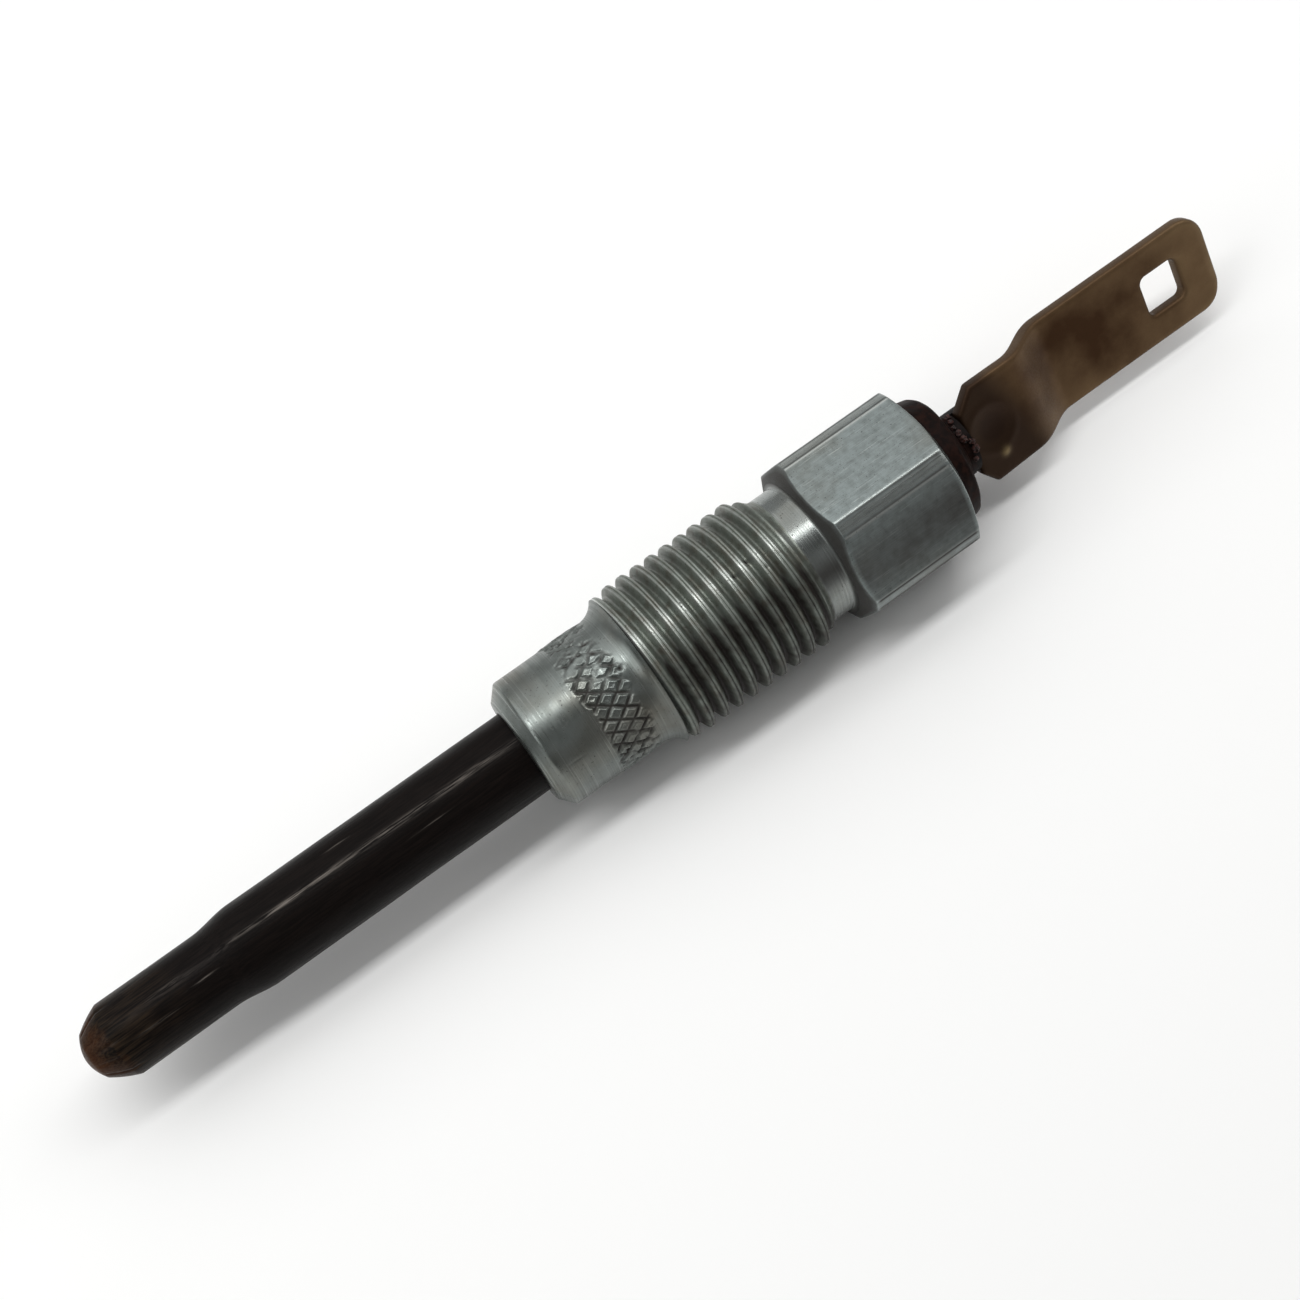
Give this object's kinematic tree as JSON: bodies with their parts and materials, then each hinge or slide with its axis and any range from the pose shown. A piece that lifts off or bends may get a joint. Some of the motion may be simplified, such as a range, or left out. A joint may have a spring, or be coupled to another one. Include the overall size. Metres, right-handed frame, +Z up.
{
  "type": "diesel glow plug",
  "caption": "Sheathed diesel glow plug with a swaged heater tube, knurled nose, fine thread, hexagon, moulded insulator and a joggled push-on blade terminal.",
  "frame": {"origin": "on the plug's axis, in the plane of the nose end where the heater tube comes out", "axes": "+X along the axis towards the terminal, +Z up, at right angles to the hexagon flat that faces up as it lies"},
  "size_m": [0.079, 0.011, 0.01],
  "materials": {
    "plated_steel": "zinc-plated, satin, used",
    "scaled_sheath": "dark oxide scale from heat",
    "coil_wire": "drawn resistance wire",
    "magnesia": "pressed powder",
    "seal_rubber": "moulded elastomer",
    "rod_steel": "drawn rod, heat-darkened at its end",
    "bush_moulding": "moulded phenolic, semi-matt",
    "tarnished_tab": "plated strip, tarnished olive brown"
  },
  "bodies": {
    "root": {"housing": "plated_steel", "heater_tube": "scaled_sheath", "heating_coil": "coil_wire", "regulating_coil": "coil_wire", "magnesia_fill": "magnesia", "tube_seal": "seal_rubber", "centre_electrode": "rod_steel", "sealing_ring": "seal_rubber", "insulator": "bush_moulding", "terminal_blade": "tarnished_tab"}
  },
  "joints": []
}
